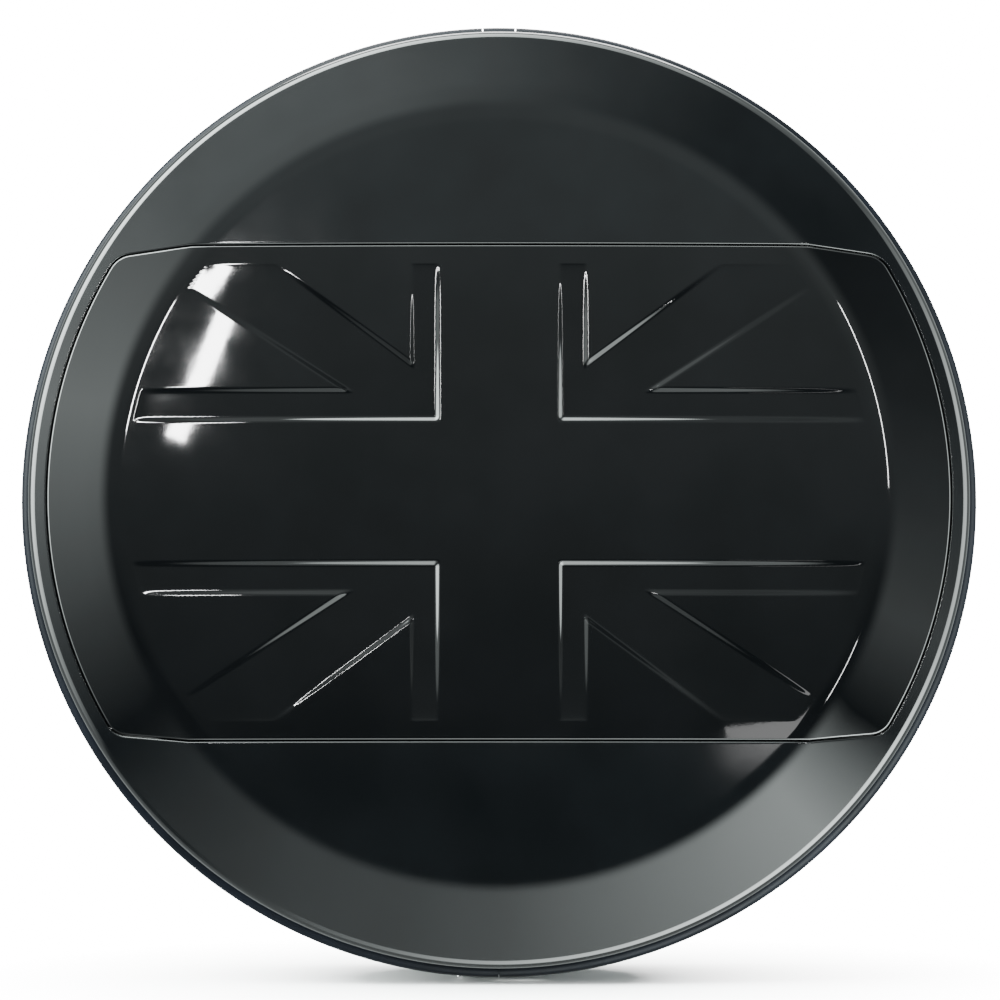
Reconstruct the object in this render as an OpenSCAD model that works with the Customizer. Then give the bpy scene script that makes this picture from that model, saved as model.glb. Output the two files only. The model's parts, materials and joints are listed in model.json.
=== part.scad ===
// Hard spare tyre cover: a moulded face with a relief panel, held on the tyre by two
// hinged half rings that meet in a key lock at the bottom.
// X points right, Y points back to the vehicle and Z up. The origin is on the wheel axis,
// inside the face's skirt, where the tyre sits.

/* [Tyre] */
// Outer diameter of the tyre that the cover fits
tyre_diameter = 814; // [780:1:980]
// Gap all round between the tyre's tread and the skirt
tyre_gap = 4; // [3:0.5:8]

/* [Face] */
// Wall thickness of the face moulding
face_wall = 3; // [2:0.1:4]
// Radius of the flat-looking middle disc, out to the middle of its soft edge
disc_radius = 351; // [300:1:352]
// How far the middle of the disc stands in front of its edge
disc_crown = 10; // [4:0.5:16]
// Slope of the bevel round the disc, in degrees
bevel_slope = 22; // [15:1:28]
// Radius of the rolled rim in section
rim_roll = 11; // [8:0.5:12]
// How far the rim stands outside the skirt
rim_step = 6; // [5:0.5:7]
// Distance from the rim's widest line back to the origin
rim_forward = 22; // [20:0.5:30]
// Distance from the origin back to the end of the skirt
skirt_back = 40; // [36:1:46]

/* [Relief panel] */
// Half the height of the panel
panel_half_height = 220; // [190:1:230]
// Radius of the panel's curved ends, centred on the cover
panel_end_radius = 402; // [390:1:402]
// Radius of the panel's corners
panel_corner = 22; // [14:1:30]
// Distance from the centre at which the long edges start to draw in
panel_taper_from = 274; // [220:1:280]
// Angle by which the long edges draw in, in degrees
panel_taper = 5.9; // [2:0.1:8]
// Thickness of the panel at the cross
panel_thickness = 5; // [4.5:0.1:6]
// Depth of the relief at its deepest
relief_depth = 2.6; // [1.5:0.1:3]
// Gap between the panel's edge and the face
panel_gap = 1.2; // [0.6:0.1:2]
// Thickness of the foam tape under the panel
tape_thickness = 1.2; // [0.8:0.1:2]
// Half the width of the upright bar of the cross
cross_half_width = 54; // [40:1:60]
// Half the height of the level bar of the cross
cross_half_height = 64; // [50:1:70]
// Radius of the panel's studs
stud_radius = 2.5; // [2:0.1:3.5]

/* [Side ring] */
// Wall thickness of the two half rings
ring_wall = 2.5; // [2:0.1:3]
// Outer radius of the bead's section
bead_roll = 9; // [8:0.5:11]
// Distance from the origin back to the rear of the rings
ring_back = 196; // [160:1:240]
// Radius of the rings' rounded rear shoulder
shoulder_radius = 40; // [30:1:48]
// Inward draft of the rings over their length
ring_draft = 3.5; // [2:0.1:3.5]
// Angle at which the rounded shoulder ends, in degrees
lip_angle = 72; // [60:1:80]
// Angle from the top that is kept free of the lip, in degrees
lip_start = 9; // [8.5:0.5:14]

/* [Hinge] */
// Radius of the hinge pin
pin_radius = 3; // [2:0.1:3.6]
// Radial clearance of the pin in its knuckles
pin_clearance = 0.05; // [0.02:0.01:0.1]
// Outer radius of the knuckles
knuckle_radius = 5.5; // [5:0.5:6.5]
// Length of one knuckle
knuckle_length = 11; // [9:0.5:12]
// Gap between neighbouring knuckles
knuckle_gap = 0.5; // [0.3:0.1:0.8]
// Distance from the origin back to the first knuckle
hinge_start = 60; // [54:1:70]
// Half the width of the gap between the rings at the top
top_half_gap = 15; // [14:0.5:18]

/* [Lock] */
// Half the gap between the rings at the bottom
bottom_half_gap = 0.3; // [0.3:0.1:2]
// Distance from the bead back to the front edge of the tongue
tongue_back = 4; // [4:0.5:18]
// Width of the tongue
tongue_width = 14; // [14:1:22]
// Thickness of the tongue and of the cam
tongue_thickness = 2; // [1.6:0.2:3]
// Clearance round the tongue in its slot
tongue_clearance = 0.6; // [0.5:0.1:0.8]
// Radius of the lock barrel
barrel_radius = 7; // [6:0.1:8.4]
// Distance from the barrel's axis to the tip of the cam
cam_reach = 14; // [13:0.5:15]
// Width of the cam
cam_width = 7; // [6:0.5:8]

/* [Hidden] */
$fn = 120;

// Small gaps that several pieces share
fit_gap = 0.05;

// ---- Face outline, as radius and distance in front of the origin ----
bore_radius = tyre_diameter / 2 + tyre_gap;
skirt_radius = bore_radius + face_wall;
rim_radius = skirt_radius + rim_step;
roll_centre = rim_radius - rim_roll;
bevel_outer = roll_centre + rim_roll * sin(bevel_slope);
bevel_outer_front = rim_forward + rim_roll * cos(bevel_slope);
edge_soft = 14;
disc_edge_front = bevel_outer_front + (bevel_outer - disc_radius) * tan(bevel_slope);
crown_slope = 2 * disc_crown / disc_radius;
soft_in = disc_radius - edge_soft;
soft_out = disc_radius + edge_soft;
// Front of the disc, of its soft edge and of the bevel at radius r
function crown(r) = disc_edge_front + disc_crown * (1 - pow(r / disc_radius, 2));
function bevel(r) = bevel_outer_front + (bevel_outer - r) * tan(bevel_slope);
function soft(r) = let (t = (r - soft_in) / (2 * edge_soft))
    (1 - t) * (1 - t) * crown(soft_in)
    + 2 * t * (1 - t) * (crown(soft_in) - crown_slope * edge_soft)
    + t * t * bevel(soft_out);
function front(r) = r < soft_in ? crown(r) : r < soft_out ? soft(r) : bevel(r);

// Radii at which the front curve is sampled
crown_steps = 14;
soft_steps = 6;
front_radii = concat(
    [for (i = [0 : crown_steps]) soft_in * i / crown_steps],
    [for (i = [1 : soft_steps]) soft_in + 2 * edge_soft * i / soft_steps]
);

// ---- Relief panel outline ----
panel_corner_reach = panel_end_radius - panel_corner;
taper_line = panel_taper_from * sin(panel_taper) + panel_half_height * cos(panel_taper);
corner_up = taper_line - panel_corner;
corner_along = sqrt(pow(panel_corner_reach, 2) - pow(corner_up, 2));
corner_x = corner_up * sin(panel_taper) + corner_along * cos(panel_taper);
corner_z = corner_up * cos(panel_taper) - corner_along * sin(panel_taper);
recess_depth = panel_thickness + tape_thickness;
relief_reach = 330;
relief_top = panel_half_height - 17;
panel_limit = panel_end_radius + panel_gap + face_wall + 1;

// ---- Side ring ----
ring_outer = skirt_radius + 1.1 + ring_wall;
bead_centre = ring_outer + 1;
bead_radius = bead_centre + bead_roll;
draft_from = 68;
shoulder_centre_y = ring_back - shoulder_radius;
shoulder_outer = ring_outer - ring_draft;
shoulder_centre_r = shoulder_outer - shoulder_radius;
// Outer radius of the ring's straight wall at distance y behind the origin
function wall_outer(y) = ring_outer
    - ring_draft * max(0, y - draft_from) / (shoulder_centre_y - draft_from);
top_angle = asin(top_half_gap / ring_outer);
bottom_angle = asin(bottom_half_gap / ring_outer);
seal_roll = bead_roll - ring_wall - 0.5;
flange_half = 1.5;
flange_radius = bead_centre + seal_roll - 2;

// ---- Hinge ----
hinge_height = bead_radius - 1;
knuckle_pitch = knuckle_length + knuckle_gap;
knuckle_count = 7;
hinge_length = knuckle_count * knuckle_pitch - knuckle_gap;
strap_wall = 3;
strap_half = top_half_gap - 3;
leaf_top = ring_outer + 2.8;
leaf_from = top_angle + 0.4;
leaf_to = 9;
leaf_rivet_angles = [4.6, 7.6];
leaf_rivet_places = [hinge_start + 12, hinge_start + hinge_length - 12];
rivet_radius = 2;
rivet_head = 4;
rivet_head_height = 1.4;
sunk_head = 3.2;
sunk_depth = 1.3;

// ---- Lock, with heights below the wheel axis ----
tongue_lift = 1;
tongue_low = ring_outer + tongue_lift + tongue_thickness;
tongue_mid = bead_roll + tongue_back + tongue_width / 2;
housing_floor = 3.9;
housing_low = tongue_low + housing_floor;
housing_left = 40;
housing_right = bottom_half_gap + 0.6;
lock_x = -17;
lock_to_tongue = 8;
lock_y = tongue_mid + tongue_width / 2 + lock_to_tongue;
housing_front = bead_roll + 0.5;
housing_end = lock_y + barrel_radius + 6;
notch_clearance = 0.4;
notch_depth = cam_reach - lock_to_tongue + 1;
tongue_end = lock_x - cam_width / 2 - notch_clearance - 8;
tongue_base = 42;
cap_gap = 0.3;
cap_thickness = 1;
cap_low = housing_low + cap_gap + cap_thickness;
cap_pin_radius = 1;
cap_pin_y = lock_y + barrel_radius + 3;
cap_pin_low = housing_low - 1.9;

// ---- Shared helpers ----
// Turns a solid of revolution from the Z axis onto the wheel axis
module on_axis() {
    rotate([-90, 0, 0]) children();
}

// Puts a piece at an angle from the top, positive to the right, with Z pointing outward
module at_angle(a) {
    rotate([0, a, 0]) children();
}

// Revolved layer of the face between two depths behind its front surface
module face_layer(near, far, reach) {
    radii = concat([for (r = front_radii) if (r < reach) r], [reach]);
    last = len(radii) - 1;
    on_axis() rotate_extrude() polygon(concat(
        [for (r = radii) [r, -front(r) + near]],
        [for (i = [0 : last]) [radii[last - i], -front(radii[last - i]) + far]]
    ));
}

// Outline of the relief panel grown by g, seen from the front
module panel_outline(g) {
    tangent_x = corner_x + (panel_corner + g) * sin(panel_taper);
    tangent_z = corner_z + (panel_corner + g) * cos(panel_taper);
    half_height = panel_half_height + g;
    end_radius = panel_end_radius + g;
    meet_x = corner_x * end_radius / panel_corner_reach;
    meet_z = corner_z * end_radius / panel_corner_reach;
    intersection() {
        circle(r = end_radius);
        square([4 * end_radius, 2 * meet_z], center = true);
    }
    polygon([
        [-meet_x, -meet_z], [-corner_x, -corner_z], [-tangent_x, -tangent_z],
        [-panel_taper_from, -half_height], [panel_taper_from, -half_height],
        [tangent_x, -tangent_z], [corner_x, -corner_z], [meet_x, -meet_z],
        [meet_x, meet_z], [corner_x, corner_z], [tangent_x, tangent_z],
        [panel_taper_from, half_height], [-panel_taper_from, half_height],
        [-tangent_x, tangent_z], [-corner_x, corner_z], [-meet_x, meet_z]
    ]);
    for (sx = [-1, 1], sz = [-1, 1])
        translate([sx * corner_x, sz * corner_z]) circle(r = panel_corner + g);
}

// Prism of the outline through the whole face, from front to back
module panel_prism(g) {
    rotate([90, 0, 0]) translate([0, 0, -20]) linear_extrude(height = 160) panel_outline(g);
}

// Places of the panel's studs
stud_places = [
    for (sx = [-1, 1], sz = [-1, 1]) each [[sx * 27, sz * 180], [sx * 200, sz * 30]],
    [-300, 0], [300, 0]
];

module at_studs() {
    for (p = stud_places) translate([p[0], -front(norm(p)), p[1]]) children();
}

// ---- Face ----
module face_body() {
    // the rim's roll ends where it meets the skirt's outer wall
    roll_end = 180 - asin((skirt_radius - roll_centre) / rim_roll);
    roll_steps = 14;
    outer_roll = [
        for (i = [0 : roll_steps])
            let (a = bevel_slope + (roll_end - bevel_slope) * i / roll_steps)
            [roll_centre + rim_roll * sin(a), -rim_forward - rim_roll * cos(a)]
    ];
    inner_front = rim_forward + (rim_roll - face_wall);
    outline = concat(
        [for (r = front_radii) [r, -front(r)]],
        outer_roll,
        [
            [skirt_radius, -flange_half], [flange_radius, -flange_half],
            [flange_radius, flange_half], [skirt_radius, flange_half],
            [skirt_radius, skirt_back], [bore_radius, skirt_back],
            [bore_radius, -inner_front + 6], [bore_radius - 3, -inner_front + 1]
        ],
        [
            for (i = [0 : len(front_radii) - 1])
                let (r = front_radii[len(front_radii) - 1 - i])
                [r, -front(r) + face_wall]
        ]
    );
    on_axis() rotate_extrude() polygon(outline);
}

module front_shell() {
    color([0.03, 0.035, 0.04]) difference() {
        union() {
            face_body();
            intersection() {
                panel_prism(panel_gap + face_wall);
                face_layer(0, recess_depth + face_wall, panel_limit);
            }
        }
        intersection() {
            panel_prism(panel_gap);
            face_layer(-5, recess_depth, panel_limit);
        }
        at_studs() rotate([-90, 0, 0]) cylinder(r = stud_radius + 0.3, h = 30);
        hinge_rivet_holes();
    }
}

// ---- Relief panel ----
// One quarter of the relief's sunken field, without its two raised triangles
module quarter_field() {
    difference() {
        intersection() {
            translate([cross_half_width, cross_half_height])
                square([relief_reach, relief_top - cross_half_height]);
            circle(r = relief_reach);
        }
        // narrow triangle beside the upright bar
        polygon([
            [cross_half_width + 23, relief_top + 1],
            [cross_half_width + 23, cross_half_height + 49],
            [cross_half_width + 144, relief_top + 1]
        ]);
        // long triangle beside the level bar
        polygon([
            [cross_half_width + 81, cross_half_height + 26],
            [relief_reach, cross_half_height + 26],
            [relief_reach, relief_top + 31],
            [cross_half_width + 211, relief_top - 28]
        ]);
    }
}

// Layer whose depth falls from the relief's depth at the cross to nothing at its reach
module relief_layer() {
    start = 80;
    steps = 10;
    radii = [for (i = [0 : steps]) start + (relief_reach - start) * i / steps];
    depths = [
        for (r = radii) relief_depth * (1 - 0.85 * (r - start) / (relief_reach - start))
    ];
    on_axis() rotate_extrude() polygon(concat(
        [for (i = [0 : steps]) [radii[i], -front(radii[i]) + depths[i]]],
        [[relief_reach, -front(0) - 10], [start, -front(0) - 10]]
    ));
}

module flag_panel() {
    color([0.02, 0.02, 0.025]) {
        difference() {
            intersection() {
                panel_prism(0);
                face_layer(0, panel_thickness, panel_end_radius + 1);
            }
            intersection() {
                relief_layer();
                rotate([90, 0, 0]) linear_extrude(height = 200)
                    for (sx = [0, 1], sz = [0, 1])
                        mirror([sx, 0]) mirror([0, sz]) quarter_field();
            }
        }
        at_studs() translate([0, panel_thickness - 1.5, 0]) rotate([-90, 0, 0])
            cylinder(r = stud_radius, h = tape_thickness + face_wall + 7);
    }
}

module panel_tape() {
    strip_width = 20;
    strip_height = 150;
    color([0.2, 0.2, 0.2]) intersection() {
        face_layer(panel_thickness + fit_gap, recess_depth - fit_gap, panel_end_radius);
        for (x = [-250, -110, 110, 250])
            translate([x - strip_width / 2, -150, -strip_height])
                cube([strip_width, 200, 2 * strip_height]);
    }
}

module panel_push_nuts() {
    nut_radius = 8;
    back = recess_depth + face_wall;
    color([0.7, 0.7, 0.72]) for (p = stud_places) {
        lift = nut_radius * crown_slope * norm(p) / disc_radius + fit_gap;
        translate([p[0], -front(norm(p)) + back + lift, p[1]]) rotate([-90, 0, 0])
            difference() {
                cylinder(r = nut_radius, h = 1.2);
                translate([0, 0, -1]) cylinder(r = stud_radius + fit_gap, h = 4);
            }
    }
}

// Pads between the face and the tyre's side wall
module face_foam_pads() {
    pad_count = 6;
    pad_from = 300;
    pad_to = 330;
    pad_thickness = 6;
    pad_span = 12;
    back = recess_depth + face_wall;
    color([0.12, 0.12, 0.12]) on_axis()
        for (i = [0 : pad_count - 1])
            rotate([0, 0, 360 * i / pad_count + 30 - pad_span / 2])
                rotate_extrude(angle = pad_span) polygon([
                    [pad_from, -front(pad_from) + back + 0.2],
                    [pad_to, -front(pad_to) + back + 0.2],
                    [pad_to, -front(pad_to) + back + pad_thickness],
                    [pad_from, -front(pad_from) + back + pad_thickness]
                ]);
}

// Rubber seal that sits over the face's flange and fills the bead
module rim_seal() {
    color([0.06, 0.06, 0.06]) on_axis() rotate_extrude() difference() {
        intersection() {
            translate([bead_centre, 0]) circle(r = seal_roll);
            translate([skirt_radius + fit_gap, -seal_roll]) square([30, 2 * seal_roll]);
        }
        translate([skirt_radius - 1, -flange_half - fit_gap])
            square([flange_radius + fit_gap - skirt_radius + 1, 2 * (flange_half + fit_gap)]);
    }
}

// Cap that carries the bead across the gap between the half rings at the top
module bead_bridge() {
    half_angle = asin((top_half_gap - 1) / ring_outer);
    color([0.1, 0.12, 0.15]) difference() {
        on_axis() rotate([0, 0, -90 - half_angle]) rotate_extrude(angle = 2 * half_angle)
            bead_section();
        // room for the hinge base's strap
        translate([0, seal_roll - 1, 0]) rotate([-90, 0, 0])
            cylinder(r = skirt_radius + strap_wall + 3 * fit_gap, h = 20, $fn = 360);
    }
}

// ---- Hinge ----
hinge_rivet_spots = [for (x = [-6.5, 6.5], y = [15, skirt_back - 7]) [x, y]];

module hinge_rivet_holes() {
    for (p = hinge_rivet_spots)
        translate([p[0], p[1], bore_radius - 4])
            cylinder(r = rivet_radius + fit_gap, h = 16);
}

// Solid of one knuckle, numbered from the front
module knuckle(i) {
    translate([0, hinge_start + i * knuckle_pitch, hinge_height]) rotate([-90, 0, 0])
        cylinder(r = knuckle_radius, h = knuckle_length);
}

module pin_bore() {
    translate([0, hinge_start - 5, hinge_height]) rotate([-90, 0, 0])
        cylinder(r = pin_radius + pin_clearance, h = hinge_length + 10);
}

module hinge_base() {
    low = skirt_radius + fit_gap;
    half_angle = asin(strap_half / low);
    color([0.55, 0.56, 0.58]) difference() {
        union() {
            on_axis() rotate([0, 0, -90 - half_angle])
                rotate_extrude(angle = 2 * half_angle)
                    translate([low, seal_roll + 0.6])
                        square([strap_wall, hinge_start + hinge_length + 3 - seal_roll - 0.6]);
            for (i = [0, 3, 6]) {
                knuckle(i);
                translate([-3.5, hinge_start + i * knuckle_pitch, low + 1])
                    cube([7, knuckle_length, hinge_height - low - 1]);
            }
        }
        pin_bore();
        hinge_rivet_holes();
    }
}

module hinge_base_rivets() {
    color([0.75, 0.75, 0.77]) for (p = hinge_rivet_spots) {
        top = skirt_radius + fit_gap + strap_wall + fit_gap;
        translate([p[0], p[1], 0]) {
            translate([0, 0, bore_radius + 0.3])
                cylinder(r = rivet_radius, h = top - bore_radius - 0.2);
            translate([0, 0, top])
                cylinder(r = rivet_head - 0.6, h = rivet_head_height);
        }
    }
}

module hinge_pin() {
    color([0.75, 0.75, 0.77]) translate([0, hinge_start - 4, hinge_height])
        rotate([-90, 0, 0]) difference() {
            cylinder(r = pin_radius, h = hinge_length + 8);
            for (y = [1.4, hinge_length + 5.4])
                translate([0, 0, y]) difference() {
                    cylinder(r = pin_radius + 1, h = 1.2);
                    translate([0, 0, -1]) cylinder(r = pin_radius - 0.7, h = 4);
                }
        }
}

module pin_clips() {
    color([0.3, 0.3, 0.32]) for (y = [-2.5, hinge_length + 1.5])
        translate([0, hinge_start + y, hinge_height]) rotate([-90, 0, 0])
            difference() {
                cylinder(r = pin_radius + 1.6, h = 1);
                translate([0, 0, -1]) cylinder(r = pin_radius - 0.65, h = 4);
                translate([-0.9, 0, -1]) cube([1.8, 10, 4]);
            }
}

// Space inside the ring's outer wall, grown by a fit gap
module ring_core() {
    on_axis() rotate_extrude($fn = 360) polygon([
        [0, -40], [ring_outer + fit_gap, -40],
        [ring_outer + fit_gap, draft_from],
        [shoulder_outer + fit_gap, shoulder_centre_y],
        [shoulder_outer + fit_gap, ring_back + 20], [0, ring_back + 20]
    ]);
}

// The same space over the straight part of the wall, where the lock sits
module straight_core() {
    rotate([-90, 0, 0]) cylinder(r = ring_outer + fit_gap, h = draft_from, $fn = 360);
}

// Hinge leaf of the left ring, with the knuckles of the given numbers
module leaf(numbers) {
    difference() {
        union() {
            on_axis() rotate([0, 0, -90 - leaf_to])
                rotate_extrude(angle = leaf_to - leaf_from)
                    translate([ring_outer - 12, hinge_start])
                        square([leaf_top - ring_outer + 12, hinge_length]);
            for (i = numbers) {
                knuckle(i);
                translate([0, hinge_start + i * knuckle_pitch + knuckle_length, 0])
                    rotate([90, 0, 0]) linear_extrude(height = knuckle_length) polygon([
                        [-1, hinge_height + knuckle_radius - 0.2],
                        [-16, hinge_height + 1], [-26, leaf_top - 0.5],
                        [-26, ring_outer - 8], [-top_half_gap - 3, ring_outer - 8],
                        [-top_half_gap - 2, ring_outer + 1.5],
                        [-12, hinge_height - knuckle_radius + 0.2],
                        [-1, hinge_height - knuckle_radius + 0.2]
                    ]);
            }
        }
        ring_core();
        pin_bore();
        leaf_rivet_bores();
    }
}

module leaf_rivet_bores() {
    for (a = leaf_rivet_angles, y = leaf_rivet_places)
        at_angle(-a) translate([0, y, ring_outer - 20])
            cylinder(r = rivet_radius + fit_gap, h = 40);
}

module leaf_rivets() {
    for (a = leaf_rivet_angles, y = leaf_rivet_places)
        at_angle(-a) translate([0, y, 0]) {
            inside = wall_outer(y) - ring_wall - 0.25;
            translate([0, 0, inside - 1])
                cylinder(r = rivet_radius, h = leaf_top - inside + 1.5);
            translate([0, 0, inside - 1]) cylinder(r = rivet_head - 0.8, h = 1);
            translate([0, 0, leaf_top + fit_gap])
                cylinder(r1 = rivet_head, r2 = rivet_head - 1, h = rivet_head_height);
        }
}

module mirrored() {
    mirror([1, 0, 0]) children();
}

module hinge_leaf_left() {
    color([0.55, 0.56, 0.58]) leaf([1, 4]);
}

module hinge_leaf_right() {
    color([0.55, 0.56, 0.58]) mirrored() leaf([2, 5]);
}

module leaf_rivets_left() {
    color([0.75, 0.75, 0.77]) leaf_rivets();
}

module leaf_rivets_right() {
    color([0.75, 0.75, 0.77]) mirrored() leaf_rivets();
}

// ---- Side rings ----
// Section of the hollow bead, open inward
module bead_section() {
    difference() {
        union() {
            intersection() {
                translate([bead_centre, 0]) circle(r = bead_roll);
                translate([bead_centre, -bead_roll]) square(2 * bead_roll);
            }
            translate([ring_outer - ring_wall + 0.6, -bead_roll])
                square([bead_centre - ring_outer + ring_wall, 2 * bead_roll]);
        }
        translate([bead_centre, 0]) circle(r = bead_roll - ring_wall);
        translate([ring_outer - ring_wall - 5, -bead_roll + ring_wall])
            square([bead_centre - ring_outer + ring_wall + 5, 2 * (bead_roll - ring_wall)]);
    }
}

// Section of the half ring: bead, drafted wall and rounded shoulder with its lip
module ring_section() {
    bead_section();
    steps = 14;
    inner = shoulder_radius - ring_wall;
    outer_arc = [
        for (i = [1 : steps]) let (a = lip_angle * i / steps)
            [shoulder_centre_r + shoulder_radius * cos(a),
             shoulder_centre_y + shoulder_radius * sin(a)]
    ];
    inner_arc = [
        for (i = [0 : steps - 1]) let (a = lip_angle * (1 - i / steps))
            [shoulder_centre_r + inner * cos(a), shoulder_centre_y + inner * sin(a)]
    ];
    polygon(concat(
        [
            [ring_outer - ring_wall, bead_roll - ring_wall],
            [ring_outer + 0.5, bead_roll - ring_wall],
            [ring_outer + 0.5, bead_roll - 0.5], [ring_outer, bead_roll],
            [ring_outer, draft_from], [shoulder_outer, shoulder_centre_y]
        ],
        outer_arc,
        inner_arc,
        [[shoulder_outer - ring_wall, shoulder_centre_y], [ring_outer - ring_wall, draft_from]]
    ));
}

// Revolves a section over the left side, between two angles from the top
module left_sweep(from, to) {
    on_axis() rotate([0, 0, -90 - to]) rotate_extrude(angle = to - from) children();
}

module half_ring() {
    difference() {
        left_sweep(top_angle, 180 - bottom_angle) ring_section();
        // the shoulder stops short of the hinge
        left_sweep(0, lip_start) translate([shoulder_centre_r - 20, shoulder_centre_y - 2])
            square([shoulder_radius + 40, shoulder_radius + 10]);
    }
}

module ring_left() {
    color([0.1, 0.12, 0.15]) difference() {
        half_ring();
        leaf_rivet_bores();
        housing_rivet_bores();
    }
}

module ring_right() {
    color([0.1, 0.12, 0.15]) difference() {
        mirrored() half_ring();
        mirrored() leaf_rivet_bores();
        tongue_rivet_bores();
    }
}

// Rubber trim over the lip's edge
module edge_trim() {
    trim_width = 7;
    trim_length = 9;
    mid = shoulder_radius - ring_wall / 2;
    left_sweep(lip_start + 0.2, 180 - bottom_angle - 0.2) difference() {
        translate([
            shoulder_centre_r + mid * cos(lip_angle), shoulder_centre_y + mid * sin(lip_angle)
        ]) rotate(lip_angle) union() {
            translate([-trim_width / 2, -trim_length / 2])
                square([trim_width, trim_length]);
            translate([0, trim_length / 2]) circle(r = trim_width / 2);
        }
        grown_shoulder();
    }
}

// Shoulder section grown by a fit gap, and a little shorter than the trim
module grown_shoulder() {
    steps = 14;
    outer = shoulder_radius + fit_gap;
    inner = shoulder_radius - ring_wall - fit_gap;
    top = lip_angle + 0.1;
    polygon(concat(
        [
            for (i = [0 : steps]) let (a = top * i / steps)
                [shoulder_centre_r + outer / cos(top / steps / 2) * cos(a),
                 shoulder_centre_y + outer / cos(top / steps / 2) * sin(a)]
        ],
        [
            for (i = [0 : steps]) let (a = top * (1 - i / steps))
                [shoulder_centre_r + (inner - 0.1) * cos(a),
                 shoulder_centre_y + (inner - 0.1) * sin(a)]
        ]
    ));
}

module edge_trim_left() {
    color([0.05, 0.05, 0.05]) edge_trim();
}

module edge_trim_right() {
    color([0.05, 0.05, 0.05]) mirrored() edge_trim();
}

// Rubber pads inside the wall that grip the tread
module tread_pads() {
    pad_angles = [28, 62, 96, 130, 160];
    pad_span = 8;
    pad_from = 70;
    pad_to = 120;
    pad_inner = bore_radius - 0.5;
    for (a = pad_angles)
        on_axis() rotate([0, 0, -90 - a - pad_span / 2])
            rotate_extrude(angle = pad_span) polygon([
                [wall_outer(pad_from) - ring_wall - fit_gap, pad_from],
                [wall_outer(pad_to) - ring_wall - fit_gap, pad_to],
                [pad_inner, pad_to], [pad_inner, pad_from]
            ]);
}

module tread_pads_left() {
    color([0.05, 0.05, 0.05]) tread_pads();
}

module tread_pads_right() {
    color([0.05, 0.05, 0.05]) mirrored() tread_pads();
}

// ---- Lock ----
housing_rivet_spots = [
    for (y = [housing_front + 4, housing_end - 4]) [-housing_left + 5, y]
];
tongue_rivet_spots = [
    for (x = [20, tongue_base - 6], s = [-1, 1])
        [x, tongue_mid + s * (tongue_width / 2 - rivet_head + 0.4)]
];

module rivet_bores(spots) {
    for (p = spots) translate([p[0], p[1], 0]) {
        translate([0, 0, -bead_radius - 5])
            cylinder(r = rivet_radius + fit_gap, h = 40);
        translate([0, 0, -sunk_top(p[0]) - sunk_depth])
            cylinder(r1 = rivet_radius + fit_gap, r2 = sunk_head + fit_gap, h = sunk_depth);
        translate([0, 0, -sunk_top(p[0]) - fit_gap])
            cylinder(r = sunk_head + fit_gap, h = 8);
    }
}

module housing_rivet_bores() {
    rivet_bores(housing_rivet_spots);
}

module tongue_rivet_bores() {
    rivet_bores(tongue_rivet_spots);
}

// Height of a sunk head's flat top, just within the ring's wall at distance x from the middle
function sunk_top(x) =
    sqrt(pow(ring_outer - ring_wall, 2) - pow(abs(x) - sunk_head, 2)) + 0.1;

// Rivets with a head on a low face and a sunk head in the ring's wall
module flat_rivets(spots, low) {
    for (p = spots) {
        translate([p[0], p[1], -low - fit_gap - 1])
            cylinder(r = rivet_head - 0.8, h = 1);
        translate([p[0], p[1], -low - fit_gap - 0.5])
            cylinder(r = rivet_radius, h = low + 0.5 - sunk_top(p[0]));
        translate([p[0], p[1], -sunk_top(p[0]) - sunk_depth])
            cylinder(r1 = rivet_radius, r2 = sunk_head, h = sunk_depth);
    }
}

// Block under the left ring that takes the tongue and the barrel
module lock_housing() {
    slot_low = tongue_low + tongue_clearance;
    slot_width = tongue_width + 2 * tongue_clearance;
    color([0.55, 0.56, 0.58]) difference() {
        translate([-housing_left, housing_front, -housing_low])
            cube([housing_left - housing_right, housing_end - housing_front, 20]);
        straight_core();
        // slot for the tongue, open to the right and up to the ring
        translate([tongue_end - 2, tongue_mid - slot_width / 2, -slot_low])
            cube([60, slot_width, 20]);
        // room for the cam's quarter turn
        intersection() {
            translate([lock_x, lock_y, -slot_low]) cylinder(r = cam_reach + 0.8, h = 30);
            translate([lock_x - 6, lock_y - 40, -slot_low]) cube([60, 46, 30]);
        }
        // bore and flange seat of the barrel
        translate([lock_x, lock_y, -housing_low - 1])
            cylinder(r = barrel_radius + pin_clearance, h = 30);
        translate([lock_x, lock_y, -housing_low - 1])
            cylinder(r = barrel_radius + 1, h = 2.15);
        // bore of the cap's pin and room for the cap's knuckle
        translate([lock_x - 9, cap_pin_y, -cap_pin_low]) rotate([0, 90, 0])
            cylinder(r = cap_pin_radius, h = 18);
        translate([lock_x - 5.5, cap_pin_y - 2.8, -housing_low - 1])
            cube([11, 7, 5.2]);
        housing_rivet_bores();
    }
}

module housing_rivets() {
    color([0.75, 0.75, 0.77]) flat_rivets(housing_rivet_spots, housing_low);
}

// Flat steel tongue on the right ring, with a side notch for the cam
module lock_tongue() {
    color([0.6, 0.61, 0.63]) difference() {
        union() {
            translate([tongue_end, tongue_mid - tongue_width / 2, -tongue_low])
                cube([tongue_base - tongue_end, tongue_width, tongue_thickness]);
            translate([bottom_half_gap + 8, tongue_mid - tongue_width / 2, -tongue_low])
                cube([tongue_base - bottom_half_gap - 8, tongue_width, 12]);
        }
        straight_core();
        translate([
            lock_x - cam_width / 2 - notch_clearance,
            tongue_mid + tongue_width / 2 - notch_depth, -tongue_low - 1
        ]) cube([cam_reach + cam_width / 2 + 1.5, notch_depth + 1, tongue_thickness + 2]);
        tongue_rivet_bores();
    }
}

module tongue_rivets() {
    color([0.75, 0.75, 0.77]) flat_rivets(tongue_rivet_spots, tongue_low);
}

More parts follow.
